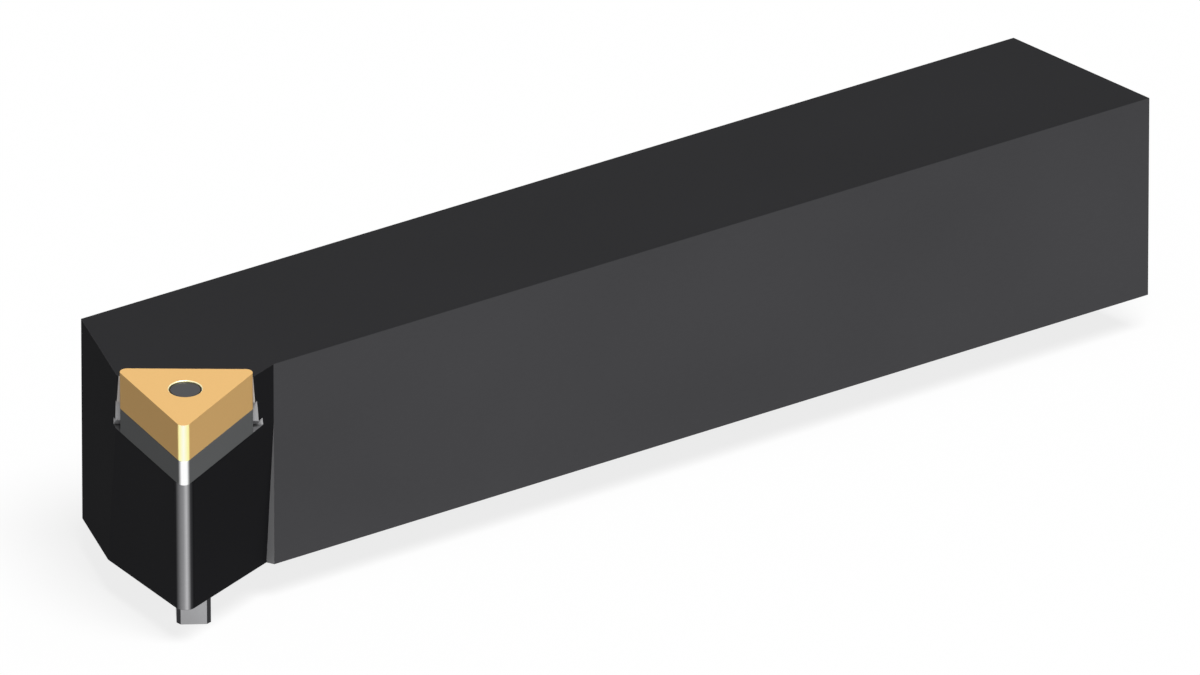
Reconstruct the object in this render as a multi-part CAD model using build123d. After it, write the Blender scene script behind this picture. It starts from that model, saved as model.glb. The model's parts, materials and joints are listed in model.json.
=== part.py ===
from build123d import *
from math import cos, radians, sin, tan
import os

# A right-hand external turning tool: a square shank whose head carries a triangular insert on a
# shim, locked by an eccentric pin that is turned by its square end below the head.
# Millimetres. +X runs along the shank to the cutting end, +Y to the cutting side, +Z up.
# The origin is the centre of the shank's bottom face at its rear end.

# Shank
shank_width = 25.0
shank_height = 25.0

# Where the insert's sharp nose corner lies, on its top plane, and how far the insert tips forward
nose_length = 151.45  # from the rear end
nose_overhang = 7.59  # past the shank's cutting side
nose_drop = 0.69  # below the shank's top
seat_tilt = 6.93

# Head
front_flank_angle = 10.0  # front flank from square across the shank
side_flank_angle = 20.0  # side flank from the shank's axis
end_face_angle = 25.0  # end face from square across the shank
front_flank_length = 16.1  # from the head's sharp nose to the end face
front_face_stand = 0.1  # the upright front face stands this far outside the seat's nose corner
side_face_inset = 0.03  # the upright side face stands this far inside the seat's nose corner
flank_inset = 0.05  # the head's flanks lie this far inside the insert's
ridge_radius = 1.2
bore_mouth_chamfer = 0.35

# Insert and shim
inscribed_circle = 9.525
insert_thickness = 4.76
insert_nose_radius = 0.8
insert_hole = 3.81
shim_thickness = 3.18
shim_nose_radius = 0.8

# Pocket wall behind the insert: a contact band, a relieved band and a groove along the floor
contact_band_depth = 4.42
groove_height = 0.91
relief_step = 0.35
groove_step = 1.09

# Split sleeve that centres the shim
sleeve_outer = 5.6
sleeve_wall = 0.6
sleeve_depth_in_body = 4.5
sleeve_height_in_shim = 2.5
sleeve_slit = 0.8
sleeve_clearance = 0.02
web_thickness = 1.1  # between the sleeve's seat and the pin's shoulder

# Eccentric pin
pin_head = 3.5
pin_head_length = 4.0
pin_head_below_top = 0.2
pin_head_gap = 0.01  # from the head to the insert's hole when locked
pin_neck = 3.0
pin_neck_fillet = 0.3
pin_shank = 5.2
pin_clearance = 0.05
pin_end_play = 0.1
eccentricity = 0.7
square_size = 4.0
square_chamfer = 0.5
square_turn = 3.0
square_above_bottom = 1.6  # the square starts this far up inside the bore
square_below_bottom = 4.4

# Wire ring that keeps the pin in its bore
ring_wire = 0.8
ring_inner = 4.3
ring_gap_angle = 40.0
ring_clearance = 0.1
ring_below_shoulder = 5.2  # from the pin's shoulder to the ring's middle

# Worked out
half_width = shank_width / 2
half_corner = radians(30)  # the insert's three sides are alike
triangle_side = inscribed_circle / tan(half_corner)
triangle_height = triangle_side * cos(half_corner)
seat_depth = insert_thickness + shim_thickness
bisector_angle = (90 - front_flank_angle + side_flank_angle) / 2
nose_way = Vector(cos(radians(bisector_angle)), sin(radians(bisector_angle)), 0)
tilt_sine = sin(radians(seat_tilt))
tilt_cosine = cos(radians(seat_tilt))
nose_corner = Vector(nose_length, half_width + nose_overhang, shank_height - nose_drop)
# The seat's plane: origin at the insert's sharp nose corner, x out through the nose, y along the
# back wall towards the cutting side, z out of the insert's top.
seat_normal = nose_way * tilt_sine + Vector(0, 0, tilt_cosine)
seat_plane = Plane(
    origin=nose_corner,
    x_dir=nose_way * tilt_cosine - Vector(0, 0, tilt_sine),
    z_dir=seat_normal,
)
seat_nose = nose_corner - seat_normal * (insert_thickness + shim_thickness)
hole_x = -inscribed_circle  # the insert's hole, in the seat's plane
head_shift = (insert_hole - pin_head) / 2 - pin_head_gap
sleeve_bottom = seat_depth + sleeve_depth_in_body
shoulder_depth = sleeve_bottom + web_thickness
sleeve_bore = sleeve_outer + 2 * sleeve_clearance
sleeve_inner = sleeve_outer - 2 * sleeve_wall
pin_bore = pin_shank + 2 * pin_clearance
ring_depth = shoulder_depth + ring_below_shoulder
ring_outer = ring_inner + 2 * ring_wire
# Depth below the insert's top, along the pin, at which the pin's axis leaves the shank's bottom
pin_foot = (nose_corner.Z + inscribed_circle * tilt_sine) / tilt_cosine
reach = 4 * shank_width  # longer than any cut


def on_seat(shape, x=0.0, y=0.0, z=0.0):
    """The shape placed in the seat's plane."""
    return seat_plane * Pos(x, y, z) * shape


def rod(diameter, top, bottom, x=0.0, y=0.0):
    """A cylinder along the seat's z, from depth top to depth bottom below the insert's top."""
    return Pos(x, y, -bottom) * extrude(Circle(diameter / 2), bottom - top)


def triangle_plate(nose_radius, top, bottom):
    """A triangular plate with rounded corners, its sharp nose corner on the seat's z axis."""
    corners = [
        (0, 0),
        (-triangle_height, triangle_side / 2),
        (-triangle_height, -triangle_side / 2),
    ]
    outline = make_face(Polyline(*corners, close=True))
    outline = fillet(outline.vertices(), nose_radius)
    return Pos(0, 0, -bottom) * extrude(outline, bottom - top)


def along(angle, distance):
    """A step in plan, by distance at angle from +X."""
    return Vector(cos(radians(angle)), sin(radians(angle)), 0) * distance


def crossing(point, angle, other_point, other_angle):
    """Where two lines in plan cross, each given by a point and its angle from +X."""
    between = other_point - point
    share = between.cross(along(other_angle, 1)).Z / along(angle, 1).cross(along(other_angle, 1)).Z
    return point + along(angle, share)


def level(point):
    """The point in plan."""
    return Vector(point.X, point.Y, 0)


front_angle = 90 - front_flank_angle
side_face_spot = level(seat_nose) + along(side_flank_angle - 90, side_face_inset)
front_face_spot = level(seat_nose) + along(front_angle - 90, front_face_stand)
head_nose = crossing(front_face_spot, front_angle, side_face_spot, side_flank_angle)
widening = crossing(head_nose, side_flank_angle, Vector(0, half_width, 0), 0)


def head_outline():
    """The holder's plan: the shank, its slanted end face and the upright faces at the nose."""
    end_top = head_nose - along(front_angle, front_flank_length)
    end_foot = crossing(end_top, 90 - end_face_angle, Vector(0, -half_width, 0), 0)
    points = [
        Vector(0, -half_width, 0),
        end_foot,
        end_top,
        head_nose,
        widening,
        Vector(0, half_width, 0),
    ]
    return make_face(Polyline(*points, close=True))


def flank_wedge():
    """All between the two relieved flanks, which run along the seat's z, with the ridge rounded."""
    tip = -flank_inset / sin(half_corner)
    back = tip - reach * cos(half_corner)
    outline = make_face(Polyline((tip, 0), (back, reach / 2), (back, -reach / 2), close=True))
    outline = fillet(outline.vertices().sort_by(Axis.X)[-1], ridge_radius)
    return on_seat(extrude(outline, reach, both=True))


def flanked(holder):
    """The holder with its two relieved flanks; the side flank ends in a step at the shank."""
    beyond = Box(reach, 2 * reach, 2 * reach, align=(Align.MIN, Align.CENTER, Align.CENTER))
    ahead = Pos(widening) * Rot(0, 0, side_flank_angle) * beyond
    return holder - (ahead - flank_wedge())


def pocket():
    """The room for insert and shim, open at both sides and above."""
    wall = -triangle_height
    relieved = wall - relief_step
    grooved = wall - groove_step
    groove_top = groove_height - seat_depth
    profile = [
        (reach, reach),
        (wall, reach),
        (wall, -contact_band_depth),
        (relieved, -contact_band_depth),
        (relieved, groove_top),
        (grooved, groove_top),
        (grooved, -seat_depth),
        (reach, -seat_depth),
    ]
    section = Plane.XZ * make_face(Polyline(*profile, close=True))
    return on_seat(extrude(section, reach / 2, both=True))


def pin_bores():
    """The sleeve's seat, the passage for the pin's neck, the pin's bore and the ring's groove."""
    sleeve_seat = rod(sleeve_bore, 0, sleeve_bottom, hole_x)
    passage = rod(sleeve_inner, sleeve_bottom, shoulder_depth, hole_x)
    bore = rod(pin_bore, shoulder_depth, reach, hole_x, eccentricity)
    half_groove = ring_wire / 2 + ring_clearance
    groove_size = ring_outer + 2 * ring_clearance
    groove = rod(groove_size, ring_depth - half_groove, ring_depth + half_groove, hole_x, eccentricity)
    return on_seat(sleeve_seat + passage + bore + groove)


def holder_body():
    """Shank and head in one piece."""
    holder = extrude(head_outline(), shank_height)
    holder = flanked(holder) - pocket() - pin_bores()
    rims = holder.edges().filter_by(lambda edge: edge.is_closed)
    return chamfer(rims.sort_by(Axis.Z)[0], bore_mouth_chamfer)


def cutting_insert():
    """The flat-topped triangular insert."""
    plate = triangle_plate(insert_nose_radius, 0, insert_thickness)
    return on_seat(plate - rod(insert_hole, 0, insert_thickness, hole_x))


def shim():
    """The seat plate under the insert, bored for the sleeve."""
    plate = triangle_plate(shim_nose_radius, insert_thickness, seat_depth)
    return on_seat(plate - rod(sleeve_bore, insert_thickness, seat_depth, hole_x))


def shim_sleeve():
    """A split spring sleeve that stands in the holder and centres the shim."""
    top = seat_depth - sleeve_height_in_shim
    tube = rod(sleeve_outer, top, sleeve_bottom) - rod(sleeve_inner, top, sleeve_bottom)
    slit = Pos(sleeve_outer / 2, 0, -top) * Box(sleeve_outer, sleeve_slit, 2 * (sleeve_bottom - top))
    return on_seat(tube - slit, hole_x)


def cam_pin():
    """The eccentric pin, locked: its head bears on the insert's hole towards the back wall."""
    head_top = pin_head_below_top
    head_bottom = head_top + pin_head_length
    shoulder = shoulder_depth + pin_end_play
    square_top = pin_foot - square_above_bottom
    square_bottom = pin_foot + square_below_bottom
    head_x = hole_x - head_shift
    head = rod(pin_head, head_top, head_bottom, head_x)
    neck = rod(pin_neck, head_bottom, shoulder, head_x)
    shank = rod(pin_shank, shoulder, square_top, hole_x, eccentricity)
    neck_rims = neck.edges().filter_by(GeomType.CIRCLE)
    pin = head + neck + shank
    foot = pin.edges().sort_by_distance(neck_rims.sort_by(Axis.Z)[0])[0]
    pin = fillet(foot, pin_neck_fillet)
    half_groove = ring_wire / 2 + ring_clearance
    groove = rod(2 * pin_shank, ring_depth - half_groove, ring_depth + half_groove)
    groove -= rod(ring_inner - 2 * ring_clearance, ring_depth - half_groove, ring_depth + half_groove)
    pin -= Pos(hole_x, eccentricity, 0) * groove
    section = chamfer(Rectangle(square_size, square_size).vertices(), square_chamfer)
    square = Rot(0, 0, square_turn) * extrude(section, square_bottom - square_top)
    return on_seat(pin + Pos(hole_x, eccentricity, -square_bottom) * square)


def retaining_ring():
    """An open ring of round wire, sprung into the bore's groove round the pin."""
    middle = (ring_inner + ring_wire) / 2
    wire = Plane.XZ * Pos(middle, 0) * Circle(ring_wire / 2)
    ring = revolve(wire, Axis.Z, 360 - ring_gap_angle)
    return on_seat(ring, hole_x, eccentricity, -ring_depth)


makers = [holder_body, cutting_insert, shim, shim_sleeve, cam_pin, retaining_ring]

os.makedirs("parts", exist_ok=True)
for maker in makers:
    export_step(maker(), f"parts/{maker.__name__}.step")
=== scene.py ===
import json
from math import cos, pi, radians, sin

import bpy
import numpy as np
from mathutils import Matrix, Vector


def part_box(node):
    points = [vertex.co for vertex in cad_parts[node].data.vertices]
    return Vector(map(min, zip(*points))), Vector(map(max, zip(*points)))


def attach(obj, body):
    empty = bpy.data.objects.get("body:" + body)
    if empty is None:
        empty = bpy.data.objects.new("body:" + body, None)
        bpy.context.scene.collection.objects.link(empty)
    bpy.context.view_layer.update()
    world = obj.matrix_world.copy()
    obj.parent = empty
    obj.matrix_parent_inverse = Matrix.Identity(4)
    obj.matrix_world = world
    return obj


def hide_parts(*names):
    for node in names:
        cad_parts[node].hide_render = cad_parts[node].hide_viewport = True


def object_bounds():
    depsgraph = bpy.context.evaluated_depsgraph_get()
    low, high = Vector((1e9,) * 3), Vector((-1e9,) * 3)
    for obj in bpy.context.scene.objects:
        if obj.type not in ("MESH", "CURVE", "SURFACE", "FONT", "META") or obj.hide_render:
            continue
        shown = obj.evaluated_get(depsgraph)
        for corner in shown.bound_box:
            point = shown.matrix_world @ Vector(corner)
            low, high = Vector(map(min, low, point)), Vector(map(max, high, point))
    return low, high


# A turning tool holder: a blackened square shank and head, a gold-coated triangular insert on a
# grey shim, and an eccentric locking pin. Lengths are metres and angles are degrees.

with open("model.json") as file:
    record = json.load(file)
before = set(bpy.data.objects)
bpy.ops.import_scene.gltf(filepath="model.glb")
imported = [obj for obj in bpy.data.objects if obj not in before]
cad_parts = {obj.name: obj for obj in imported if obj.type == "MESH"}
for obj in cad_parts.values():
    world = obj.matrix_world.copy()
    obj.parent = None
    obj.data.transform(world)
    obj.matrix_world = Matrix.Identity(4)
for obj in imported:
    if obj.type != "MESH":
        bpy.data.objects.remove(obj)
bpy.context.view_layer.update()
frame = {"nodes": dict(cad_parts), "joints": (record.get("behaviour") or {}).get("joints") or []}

MM = 0.001


def level_way(turn):
    """The level direction that is turned by this angle from the shank's length."""
    return Vector((cos(radians(turn)), sin(radians(turn)), 0))


# The insert, the shim under it and the head's seat
INSCRIBED_CIRCLE = 9.525 * MM
NOSE_RADIUS = 0.8 * MM
INSERT_THICKNESS = 4.76 * MM
SHIM_THICKNESS = 3.18 * MM
SEAT_DEPTH = INSERT_THICKNESS + SHIM_THICKNESS
INSERT_HOLE = 3.81 * MM
SHIM_HOLE = 5.64 * MM
CUTTING_EDGE = 0.04 * MM  # honed radius of the insert's edges
SHIM_EDGE = 0.1 * MM
HOLE_EDGE = 0.14 * MM

# Places on the seat, as distances out from the hole's axis
NOSE_START = INSCRIBED_CIRCLE - 1.5 * NOSE_RADIUS  # where the painted highlight along the nose begins
RIDGE_START = 7.5 * MM  # where the head's ridge begins
GROOVE_START = -INSCRIBED_CIRCLE / 2 - 0.7 * MM  # where the back wall's groove begins, behind it
RIM_REACH = INSERT_HOLE / 2 + 0.7 * HOLE_EDGE  # where the painted highlight on the hole's rim ends
RIM_DEPTH = 0.5 * MM  # how far down the painted highlight on the rim reaches

# The locking pin
ECCENTRICITY = 0.7 * MM  # from its axis to the insert's hole
SQUARE_SIZE = 4.0 * MM
SQUARE_TURN = 3.0
SQUARE_START = -20.0 * MM  # height over the insert's top under which only its square is left

# The body's own faces, which the finish tells apart
RIDGE_RADIUS = 1.2 * MM
BODY_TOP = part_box("holder_body")[1].z
STEP_CORNER = Vector((132.085, 12.5, 0)) * MM  # where the head widens from the shank
STEP_WAY = level_way(20.0)
END_WAY = level_way(-25.0)
PLANE = 0.02 * MM  # how near to a plane a point counts as on it

# How surfaces take the light
EDGE_TINT = (0.52, 0.52, 0.52, 1.0)  # keeps dark metal dark at a glancing angle
METAL_SHARE = 0.15  # of matt surfaces, for a sheen of their own colour
BLACK = (0.0, 0.0, 0.0)
WHITE = (1.0, 1.0, 1.0)

# The camera: a long lens, for a view that is nearly parallel
CAMERA_AZIMUTH = 140.862
CAMERA_ELEVATION = 22.051
CAMERA_DISTANCE = 3.7
PICTURE_WIDTH = 139.03 * MM
PICTURE_CENTRE = Vector((94.553, 26.088, 22.99)) * MM

# Light. One unit of light is what shows a colour as it is written.
KEY_DIRECTION = Vector((0.08, 0.454, 0.887))  # towards the lamp
KEY_SPREAD = 32.0
KEY_LEVEL = 0.88
SKY_LEVEL = 0.11
FLOOR_SIZE = 12.0
FLOOR_GREY = 0.2
FLOOR_GLOW = 0.12  # what the floor adds to the light that falls on the object from below
FLOOR_LIFT = 0.82  # what it adds for the eye and for reflections instead, to look white


# ---------------------------------------------------------------- the seat


def seat_axes():
    """The seat's frame, worked out from the pin's joint: up is the pin's axis, out runs in the
    seat's plane through the nose, and across is level, along the pocket's back wall. The origin
    is the middle of the insert's hole on its top plane, one eccentricity off the pin's axis."""
    joint = frame["joints"][0]
    up = Vector(joint["axis"]).normalized()
    across = Vector((0, 0, 1)).cross(up).normalized()
    out = across.cross(up)
    origin = Vector(joint["pos_m"]) - across * ECCENTRICITY
    return origin, out, across, up


SEAT, OUT, ACROSS, UP = seat_axes()


def seat_ways(x, y, z):
    """Directions of seat coordinates: x, y and z times the seat's three axes."""
    return np.stack([x, y, z], axis=-1) @ np.array([OUT, ACROSS, UP])


def seat_points(x, y, z):
    """Points of seat coordinates: their directions from the seat's origin."""
    return seat_ways(x, y, z) + np.array(SEAT)


# ---------------------------------------------------------------- surfaces


def closed_grid(name, points, normals):
    """A mesh on a grid that closes on itself both ways, as a ring does. points and normals are
    arrays of rows by columns by 3, and each vertex is shaded with its own given normal."""
    rows, columns = points.shape[:2]
    row, column = np.meshgrid(np.arange(rows), np.arange(columns), indexing="ij")
    next_row = (row + 1) % rows
    next_column = (column + 1) % columns
    corners = [
        row * columns + column,
        next_row * columns + column,
        next_row * columns + next_column,
        row * columns + next_column,
    ]
    mesh = bpy.data.meshes.new(name)
    mesh.from_pydata(points.reshape(-1, 3), [], np.stack(corners, axis=-1).reshape(-1, 4))
    mesh.shade_smooth()
    mesh.normals_split_custom_set_from_vertices(normals.reshape(-1, 3))
    piece = bpy.data.objects.new(name, mesh)
    bpy.context.collection.objects.link(piece)
    return piece


def triangle_walk(corner_steps=18, side_steps=30):
    """The walk round a triangle with rounded corners, as three arrays: the centre that each
    point's corner is drawn round (x, y) and the outward normal's angle in radians. At a corner
    the angle sweeps 120 degrees about one centre; along a side the angle stays and the centre
    slides to the next."""
    away = INSCRIBED_CIRCLE - 2 * NOSE_RADIUS
    slide = np.arange(1, side_steps)[:, None] / side_steps
    stretches = []
    for corner in (0, 120, 240):
        here = away * np.array(level_way(corner).xy)
        there = away * np.array(level_way(corner + 120).xy)
        sweep = np.radians(corner + np.linspace(-60, 60, corner_steps + 1))
        turning = np.column_stack([np.tile(here, (len(sweep), 1)), sweep])
        side = np.column_stack([here + (there - here) * slide, np.full(len(slide), sweep[-1])])
        stretches += [turning, side]
    return np.concatenate(stretches).T


def holed_plate(name, top, bottom, hole, outer_edge, inner_edge, edge_steps=5):
    """A triangular plate with a round hole, as four rounded edges that the grid joins: down the
    outside, and up through the hole. Each row is one lap. The outer laps follow the triangle's
    walk at its nose radius less the row's inset, and the inner laps are circles at the same polar
    angles. Over an edge the slope turns through a quarter circle: the inset is the edge's radius
    times one less the slope's cosine, and the fall from the face is that radius times one less
    its sine."""
    centre_x, centre_y, turn = triangle_walk()
    polar = np.arctan2(
        centre_y + NOSE_RADIUS * np.sin(turn),
        centre_x + NOSE_RADIUS * np.cos(turn),
    )
    slope = np.radians(np.linspace(90, 0, edge_steps + 1))[:, None]
    lift = np.sin(slope) + 0 * turn
    reach = np.cos(slope) + 0 * turn

    def outer(height, side):
        radius = NOSE_RADIUS - outer_edge * (1 - reach)
        x = centre_x + radius * np.cos(turn)
        y = centre_y + radius * np.sin(turn)
        z = height - side * outer_edge * (1 - lift)
        return seat_points(x, y, z), seat_ways(reach * np.cos(turn), reach * np.sin(turn), side * lift)

    def inner(height, side):
        radius = hole / 2 + inner_edge * (1 - reach)
        x = radius * np.cos(polar)
        y = radius * np.sin(polar)
        z = height - side * inner_edge * (1 - lift)
        return seat_points(x, y, z), seat_ways(-reach * np.cos(polar), -reach * np.sin(polar), side * lift)

    edges = [outer(top, 1), outer(bottom, -1), inner(bottom, -1), inner(top, 1)]
    orders = [1, -1, 1, -1]  # every edge starts at its face, so each second one is turned round
    points = [place[::order] for (place, _), order in zip(edges, orders)]
    normals = [facing[::order] for (_, facing), order in zip(edges, orders)]
    return closed_grid(name, np.concatenate(points), np.concatenate(normals))


# ---------------------------------------------------------------- finishes


def feed(tree, socket, value):
    """Gives a socket another node's socket, a colour as three numbers, or a plain value."""
    if isinstance(value, bpy.types.NodeSocket):
        tree.links.new(value, socket)
    elif socket.type == "RGBA":
        socket.default_value = (*value, 1)
    else:
        socket.default_value = value


def node(tree, kind, inputs=None, **settings):
    """A new node with these settings. inputs maps a socket's name or position to its value."""
    made = tree.nodes.new(kind)
    for name, value in settings.items():
        setattr(made, name, value)
    for socket, value in (inputs or {}).items():
        feed(tree, made.inputs[socket], value)
    return made


class Finish:
    """A material, with short calls for the nodes that the finishes share. Its keywords are the
    shader's own sockets, with _ for a space. A mask is 1 where what it asks is so and 0 elsewhere.
    Distances are millimetres in the nodes, and the masks compare them with lengths in metres."""

    def __init__(self, name, **sockets):
        self.material = bpy.data.materials.new(name)
        self.material.use_nodes = True
        self.tree = self.material.node_tree
        self.sockets = self.tree.nodes["Principled BSDF"].inputs
        for socket, value in sockets.items():
            self.sockets[socket.replace("_", " ")].default_value = value
        coordinates = node(self.tree, "ShaderNodeTexCoord")
        self.place = coordinates.outputs["Object"]
        self.facing = coordinates.outputs["Normal"]
        self.depth = self.distance(SEAT, UP)
        self.out = self.distance(SEAT, OUT)
        self.across = self.distance(SEAT, ACROSS)

    def give(self, socket, value):
        """Feeds one of the shader's own sockets."""
        feed(self.tree, self.sockets[socket], value)

    def maths(self, operation, *values):
        """The result of one operation on numbers or sockets."""
        made = node(self.tree, "ShaderNodeMath", dict(enumerate(values)), operation=operation)
        return made.outputs[0]

    def product(self, first, second):
        """The scalar product of two vectors."""
        vectors = {0: first, 1: second}
        return node(self.tree, "ShaderNodeVectorMath", vectors, operation="DOT_PRODUCT").outputs["Value"]

    def distance(self, origin, way):
        """How far a point lies from origin along way, in millimetres."""
        places = {0: self.place, 1: origin}
        offset = node(self.tree, "ShaderNodeVectorMath", places, operation="SUBTRACT")
        return self.maths("MULTIPLY", self.product(offset.outputs[0], way), 1 / MM)

    def looks(self, way, leeway=1.0):
        """Mask: the surface looks along way, within a leeway in degrees."""
        return self.maths("GREATER_THAN", self.product(self.facing, way), cos(radians(leeway)))

    def over(self, distance, edge):
        """Mask: a distance is more than edge."""
        return self.maths("GREATER_THAN", distance, edge / MM)

    def under(self, distance, edge):
        """Mask: a distance is less than edge."""
        return self.maths("LESS_THAN", distance, edge / MM)

    def at(self, distance, level):
        """Mask: a distance is level, within a plane's thickness."""
        return self.maths("COMPARE", distance, level / MM, PLANE / MM)

    def near_hole(self, reach):
        """Mask: the point lies within reach of the axis of the insert's hole."""
        across_squared = self.maths("MULTIPLY", self.across, self.across)
        squared = self.maths("MULTIPLY_ADD", self.out, self.out, across_squared)
        return self.under(self.maths("SQRT", squared), reach)

    def all(self, first, *rest):
        """Mask: every mask is 1."""
        for mask in rest:
            first = self.maths("MULTIPLY", first, mask)
        return first

    def no(self, mask):
        """Mask: the mask is 0."""
        return self.maths("SUBTRACT", 1.0, mask)

    def any(self, first, *rest):
        """Mask: some mask is 1."""
        for mask in rest:
            first = self.maths("MAXIMUM", first, mask)
        return first

    def mix(self, share, first, second, blend="MIX"):
        """The first colour at share 0, and the second, or its product with the first, at share 1."""
        colours = {0: share, 6: first, 7: second}
        return node(self.tree, "ShaderNodeMix", colours, data_type="RGBA", blend_type=blend).outputs[2]

    def profile(self, radius, stops):
        """A colour that follows the way across the nose, from -radius at 0 to radius at 1."""
        share = self.maths("MULTIPLY_ADD", self.across, 0.5 * MM / radius, 0.5)
        made = node(self.tree, "ShaderNodeValToRGB", {"Fac": share})
        elements = made.color_ramp.elements
        while len(elements) < len(stops):
            elements.new(0.5)
        for element, (position, colour) in zip(elements, stops):
            element.position = position
            element.color = (*colour, 1)
        return made.outputs[0]

    def painted_nose_highlight(self, *edges):
        """1 along the middle of the insert's or the shim's nose, where a highlight is painted, else 0. The
        edges are four places across the nose: the first two where it rises, the others where it falls."""
        stops = list(zip(edges, (BLACK, WHITE, WHITE, BLACK)))
        return self.all(self.profile(NOSE_RADIUS, stops), self.over(self.out, NOSE_START))

    def noise(self, *pitch, detail=3.0):
        """Noise from 0 to 1, of the given pitch along the three axes."""
        stretch = [1 / length for length in pitch]
        scaled = node(self.tree, "ShaderNodeMapping", {"Vector": self.place, "Scale": stretch})
        inputs = {"Vector": scaled.outputs[0], "Scale": 1.0, "Detail": detail}
        return node(self.tree, "ShaderNodeTexNoise", inputs).outputs[0]

    def vary(self, colour, noise, amount):
        """The colour times one give or take amount, as the noise goes."""
        level = self.maths("MULTIPLY_ADD", noise, 2 * amount, 1 - amount)
        grey_level = node(self.tree, "ShaderNodeCombineXYZ", {0: level, 1: level, 2: level})
        return self.mix(1.0, colour, grey_level.outputs[0], "MULTIPLY")

    def colour(self, value):
        """The surface's colour."""
        self.give("Base Color", value)

    def metal(self, mask, plain, masked):
        """How metallic the surface is, where the mask is 0 and where it is 1."""
        self.give("Metallic", self.maths("MULTIPLY_ADD", mask, masked - plain, plain))

    def roughness(self, noise, low, high):
        """How rough the surface is, where the noise is 0 and where it is 1."""
        self.give("Roughness", self.maths("MULTIPLY_ADD", noise, high - low, low))

    def relief(self, height, depth):
        """Fine relief of the surface, of this depth."""
        made = node(self.tree, "ShaderNodeBump", {"Distance": depth, "Height": height})
        self.give("Normal", made.outputs[0])


def linear(red, green, blue):
    """A linear colour from 0 to 255 screen values."""
    values = np.array([red, green, blue]) / 255
    return tuple(np.where(values <= 0.04045, values / 12.92, ((values + 0.055) / 1.055) ** 2.4).tolist())


def grey(value):
    """A near-neutral grey, a shade cool as blackened steel is."""
    return linear(value, value, value + 2)


def black_oxide():
    """The holder's finish: blackened steel, satin along the shank and matt where the head is milled,
    with painted shade in its tones: the side, the top, the head, which is blackest, and its far flank
    each get their own black for how the light falls on them, the low step is painted lighter against
    the shade in its corner, the pocket's seat is ground grey and painted lighter against the shade in
    the pocket, and the nose ridge carries a painted highlight."""
    finish = Finish("black_oxide", Specular_IOR_Level=0.0, Specular_Tint=EDGE_TINT)
    height = finish.distance((0, 0, 0), (0, 0, 1))
    top = finish.looks((0, 0, 1))
    upright = finish.all(finish.under(height, BODY_TOP - PLANE), finish.over(height, PLANE))
    end = finish.looks(END_WAY)
    step = finish.all(upright, finish.looks(STEP_WAY))
    past_step = finish.over(finish.distance(STEP_CORNER, STEP_WAY), PLANE)
    head = finish.all(upright, finish.any(past_step, end))
    far_flank = finish.all(past_step, upright, finish.under(finish.across, 0.0), finish.no(end))
    ridge = finish.all(head, finish.over(finish.out, RIDGE_START))
    # A painted highlight across the nose ridge, in greys that rise to a peak past its middle and fall
    # away; it stays put when the light moves.
    painted_ridge_highlight = finish.profile(
        RIDGE_RADIUS,
        [
            (0.08, grey(26)),
            (0.32, grey(124)),
            (0.46, grey(144)),
            (0.6, grey(186)),
            (0.67, grey(160)),
            (0.79, grey(62)),
            (0.92, grey(26)),
        ],
    )
    floor = finish.all(finish.looks(UP), finish.under(finish.depth, -SEAT_DEPTH / 2))
    wall = finish.all(finish.looks(OUT), finish.under(finish.out, 0.0))
    groove = finish.all(wall, finish.under(finish.out, GROOVE_START))
    # Painted shade by face: the side's black here, then the top, the head and the far flank each a black
    # set for how the light falls on it, and the low step painted lighter against the shade in its corner.
    shade = grey(71)
    for mask, tone in (
        (top, grey(46)),
        (head, grey(38)),
        (far_flank, grey(50)),
        (step, grey(160)),
        (ridge, painted_ridge_highlight),
        # Partly painted light: the pocket's floor, wall and groove are ground grey, lifted lighter against
        # the shade that falls in the pocket.
        (floor, grey(115)),
        (wall, grey(220)),
        (groove, grey(225)),
    ):
        shade = finish.mix(mask, shade, tone)
    clouds = finish.noise(30 * MM, 20 * MM, 20 * MM, detail=2.0)
    grain = finish.noise(1.2 * MM, 0.25 * MM, 0.25 * MM)
    finish.colour(finish.vary(finish.vary(shade, clouds, amount=0.1), grain, amount=0.05))
    milled = finish.all(head, finish.under(finish.out, RIDGE_START))
    matt = finish.any(milled, step, floor, groove)
    finish.metal(matt, plain=1.0, masked=METAL_SHARE)
    polish = finish.maths("MULTIPLY", wall, 2.0)
    finish.roughness(finish.maths("SUBTRACT", clouds, polish), low=0.38, high=0.46)
    finish.relief(grain, depth=0.002 * MM)
    return finish.material


def gold_coating():
    """The insert's finish: a satin gold coating, with painted highlights along the nose and the hole's
    rim.
    """
    finish = Finish("gold_coating", Specular_IOR_Level=0.0)
    gold = (0.90, 0.555, 0.213)
    # Pale golds of the painted highlights on the nose and the hole's rim
    highlight_edge_gold = (1.0, 0.95, 0.4)
    highlight_pale_gold = (1.0, 1.0, 0.85)
    rim_highlight_gold = (1.0, 0.93, 0.6)
    nose_highlight_gold = finish.profile(NOSE_RADIUS, [(0.15, highlight_edge_gold), (0.5, highlight_pale_gold), (0.85, highlight_edge_gold)])
    # The nose and the rim carry the painted highlights, and are fully metallic there
    nose = finish.all(finish.painted_nose_highlight(0.06, 0.17, 0.86, 0.98), finish.under(finish.depth, -PLANE))
    rim = finish.all(finish.near_hole(RIM_REACH), finish.over(finish.depth, -RIM_DEPTH))
    grain = finish.noise(0.3 * MM, 0.3 * MM, 0.3 * MM)
    shade = finish.mix(rim, finish.mix(nose, gold, nose_highlight_gold), rim_highlight_gold)
    finish.colour(finish.vary(shade, grain, amount=0.02))
    finish.metal(finish.any(nose, rim), plain=METAL_SHARE, masked=1.0)
    finish.roughness(grain, low=0.34, high=0.42)
    finish.relief(grain, depth=0.001 * MM)
    return finish.material


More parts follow.
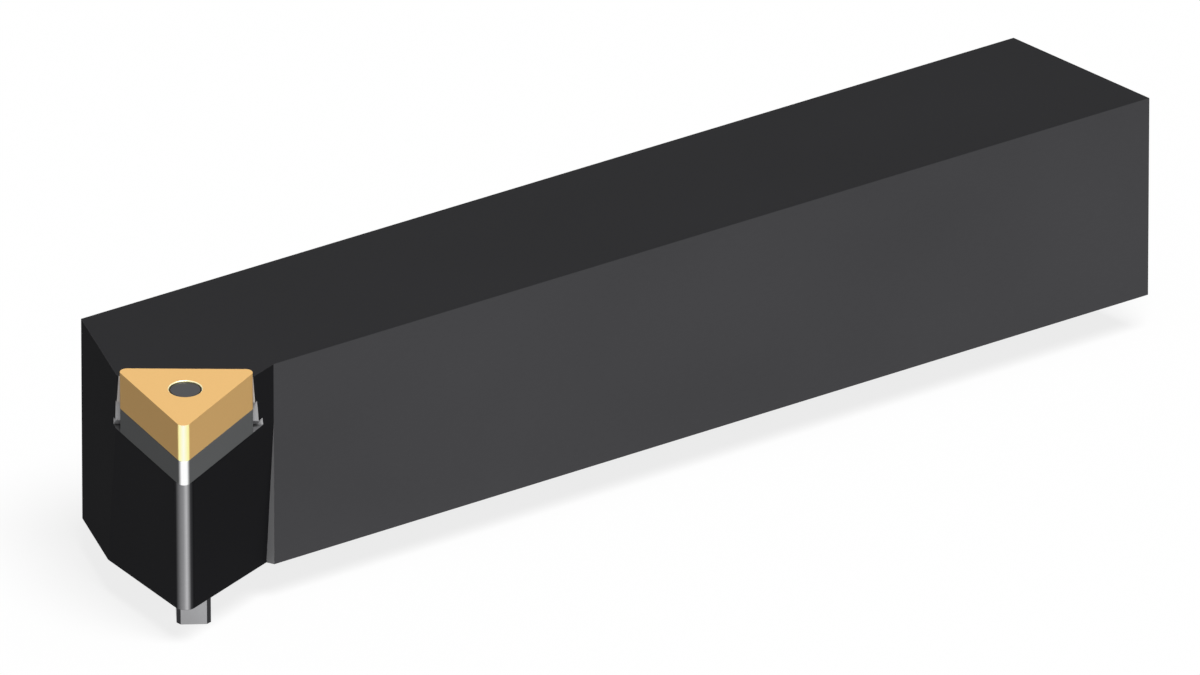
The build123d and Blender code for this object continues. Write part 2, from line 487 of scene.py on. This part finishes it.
def ground_carbide():
    """The shim's finish: plain grey carbide, ground all over, with a painted white highlight along the
    nose.
    """
    finish = Finish("ground_carbide", Specular_IOR_Level=0.0)
    carbide = (0.160, 0.165, 0.167)
    # A painted white highlight along the nose
    nose = finish.painted_nose_highlight(0.1, 0.33, 0.74, 0.93)
    grain = finish.noise(0.6 * MM, 0.6 * MM, 0.08 * MM)
    finish.colour(finish.vary(finish.mix(nose, carbide, WHITE), grain, amount=0.03))
    finish.metal(nose, plain=METAL_SHARE, masked=1.0)
    finish.roughness(grain, low=0.42, high=0.52)
    finish.relief(grain, depth=0.001 * MM)
    return finish.material


def pin_steel():
    """The pin's finish: dull steel, with painted light on the flats of its square and painted shade on its
    corners.
    """
    finish = Finish("pin_steel", Metallic=1.0, Specular_Tint=EDGE_TINT)
    turn = radians(SQUARE_TURN)
    first_way = OUT * cos(turn) + ACROSS * sin(turn)
    second_way = ACROSS * cos(turn) - OUT * sin(turn)
    pin_axis = SEAT + ACROSS * ECCENTRICITY
    flats = []
    for way in (first_way, second_way):
        off_axis = finish.maths("ABSOLUTE", finish.distance(pin_axis, way))
        flats.append(finish.at(off_axis, SQUARE_SIZE / 2))
    square = finish.under(finish.depth, SQUARE_START)
    grain = finish.noise(0.2 * MM, 0.2 * MM, 0.8 * MM)
    # Painted shade on the square's corner chamfers, and painted light on its flats
    shade = finish.mix(square, grey(89), grey(56))
    shade = finish.mix(finish.all(square, finish.any(*flats)), shade, grey(168))
    finish.colour(finish.vary(shade, grain, amount=0.05))
    finish.roughness(grain, low=0.3, high=0.4)
    finish.relief(grain, depth=0.001 * MM)
    return finish.material


def spring_steel():
    """The sleeve's and the ring's finish: bright drawn steel."""
    finish = Finish("spring_steel", Metallic=1.0, Specular_Tint=EDGE_TINT)
    grain = finish.noise(0.4 * MM, 0.4 * MM, 0.4 * MM)
    finish.colour(finish.vary(grey(160), grain, amount=0.06))
    finish.roughness(grain, low=0.26, high=0.36)
    return finish.material


# ---------------------------------------------------------------- the object


def dress(piece, material):
    """Gives the piece this one material."""
    piece.data.materials.clear()
    piece.data.materials.append(material)


def seat_piece(piece, node, material):
    """Sets a piece on the holder in the place of one of the model's nodes."""
    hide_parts(node)
    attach(piece, "holder")
    dress(piece, material)


def make_pieces():
    """The insert and the shim with their rounded edges, and the finishes of the other pieces."""
    insert = holed_plate("coated_insert", 0.0, -INSERT_THICKNESS, INSERT_HOLE, CUTTING_EDGE, HOLE_EDGE)
    seat_piece(insert, "cutting_insert", gold_coating())
    shim = holed_plate("ground_shim", -INSERT_THICKNESS, -SEAT_DEPTH, SHIM_HOLE, SHIM_EDGE, HOLE_EDGE)
    seat_piece(shim, "shim", ground_carbide())
    spring = spring_steel()
    finishes = {
        "holder_body": black_oxide(),
        "cam_pin": pin_steel(),
        "shim_sleeve": spring,
        "retaining_ring": spring,
    }
    for node, material in finishes.items():
        dress(frame["nodes"][node], material)


# ---------------------------------------------------------------- the stage


def seen(tree):
    """1 for rays from the eye, from reflections and through glass, and 0 for the rest."""
    path = node(tree, "ShaderNodeLightPath")
    total = path.outputs["Is Camera Ray"]
    for ray in ("Is Glossy Ray", "Is Transmission Ray"):
        larger = node(tree, "ShaderNodeMath", {0: total, 1: path.outputs[ray]}, operation="MAXIMUM")
        total = larger.outputs[0]
    return total


def level_when_seen(tree, unseen, shown):
    """The level unseen for the light that falls on the object, and shown for the eye."""
    inputs = {"Value": seen(tree), "To Min": unseen, "To Max": shown}
    return node(tree, "ShaderNodeMapRange", inputs).outputs[0]


def make_world():
    """A white surround to look at, which lights the object at the sky's level."""
    world = bpy.data.worlds.new("studio")
    bpy.context.scene.world = world
    world.use_nodes = True
    tree = world.node_tree
    background = tree.nodes["Background"]
    feed(tree, background.inputs["Color"], WHITE)
    feed(tree, background.inputs["Strength"], level_when_seen(tree, SKY_LEVEL, 1.0))


def floor_paint():
    """Pale paint, lifted to white for the eye, less the shadows, and clear from underneath."""
    material = bpy.data.materials.new("floor_paint")
    material.use_nodes = True
    tree = material.node_tree
    tree.nodes.remove(tree.nodes["Principled BSDF"])
    paint = node(tree, "ShaderNodeBsdfDiffuse", {"Color": (FLOOR_GREY, FLOOR_GREY, FLOOR_GREY)})
    lift = node(tree, "ShaderNodeEmission", {"Strength": level_when_seen(tree, FLOOR_GLOW, FLOOR_LIFT)})
    top = node(tree, "ShaderNodeAddShader", {0: paint.outputs[0], 1: lift.outputs[0]})
    side = node(tree, "ShaderNodeNewGeometry")
    clear = node(tree, "ShaderNodeBsdfTransparent")
    faces = {0: side.outputs["Backfacing"], 1: top.outputs[0], 2: clear.outputs[0]}
    either = node(tree, "ShaderNodeMixShader", faces)
    feed(tree, tree.nodes["Material Output"].inputs["Surface"], either.outputs[0])
    return material


def make_floor():
    """A level floor at the object's lowest point."""
    half = FLOOR_SIZE / 2
    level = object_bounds()[0].z
    corners = [(-half, -half, level), (half, -half, level), (half, half, level), (-half, half, level)]
    mesh = bpy.data.meshes.new("floor")
    mesh.from_pydata(corners, [], [(0, 1, 2, 3)])
    mesh.materials.append(floor_paint())
    floor = bpy.data.objects.new("floor", mesh)
    bpy.context.collection.objects.link(floor)


def aim(thing, place, target):
    """Puts a lamp or camera at place, looking at target."""
    thing.location = place
    thing.rotation_mode = "QUATERNION"
    thing.rotation_quaternion = (target - place).to_track_quat("-Z", "Y")


def make_key_light():
    """A broad soft key above the cutting side. A sun of strength pi lights a facing surface at one."""
    data = bpy.data.lights.new("key", "SUN")
    data.energy = KEY_LEVEL * pi
    data.angle = radians(KEY_SPREAD)
    lamp = bpy.data.objects.new("key", data)
    bpy.context.collection.objects.link(lamp)
    aim(lamp, KEY_DIRECTION, Vector((0, 0, 0)))


def make_camera():
    """A long lens that looks at the picture's centre along the given azimuth and elevation."""
    turn = radians(CAMERA_AZIMUTH)
    rise = radians(CAMERA_ELEVATION)
    back = Vector((sin(turn) * cos(rise), -cos(turn) * cos(rise), sin(rise)))
    data = bpy.data.cameras.new("camera")
    data.lens = data.sensor_width * CAMERA_DISTANCE / PICTURE_WIDTH
    camera = bpy.data.objects.new("camera", data)
    bpy.context.collection.objects.link(camera)
    aim(camera, PICTURE_CENTRE + back * CAMERA_DISTANCE, PICTURE_CENTRE)
    bpy.context.scene.camera = camera


make_pieces()
make_world()
make_floor()
make_key_light()
make_camera()
bpy.context.scene.view_settings.view_transform = "Standard"
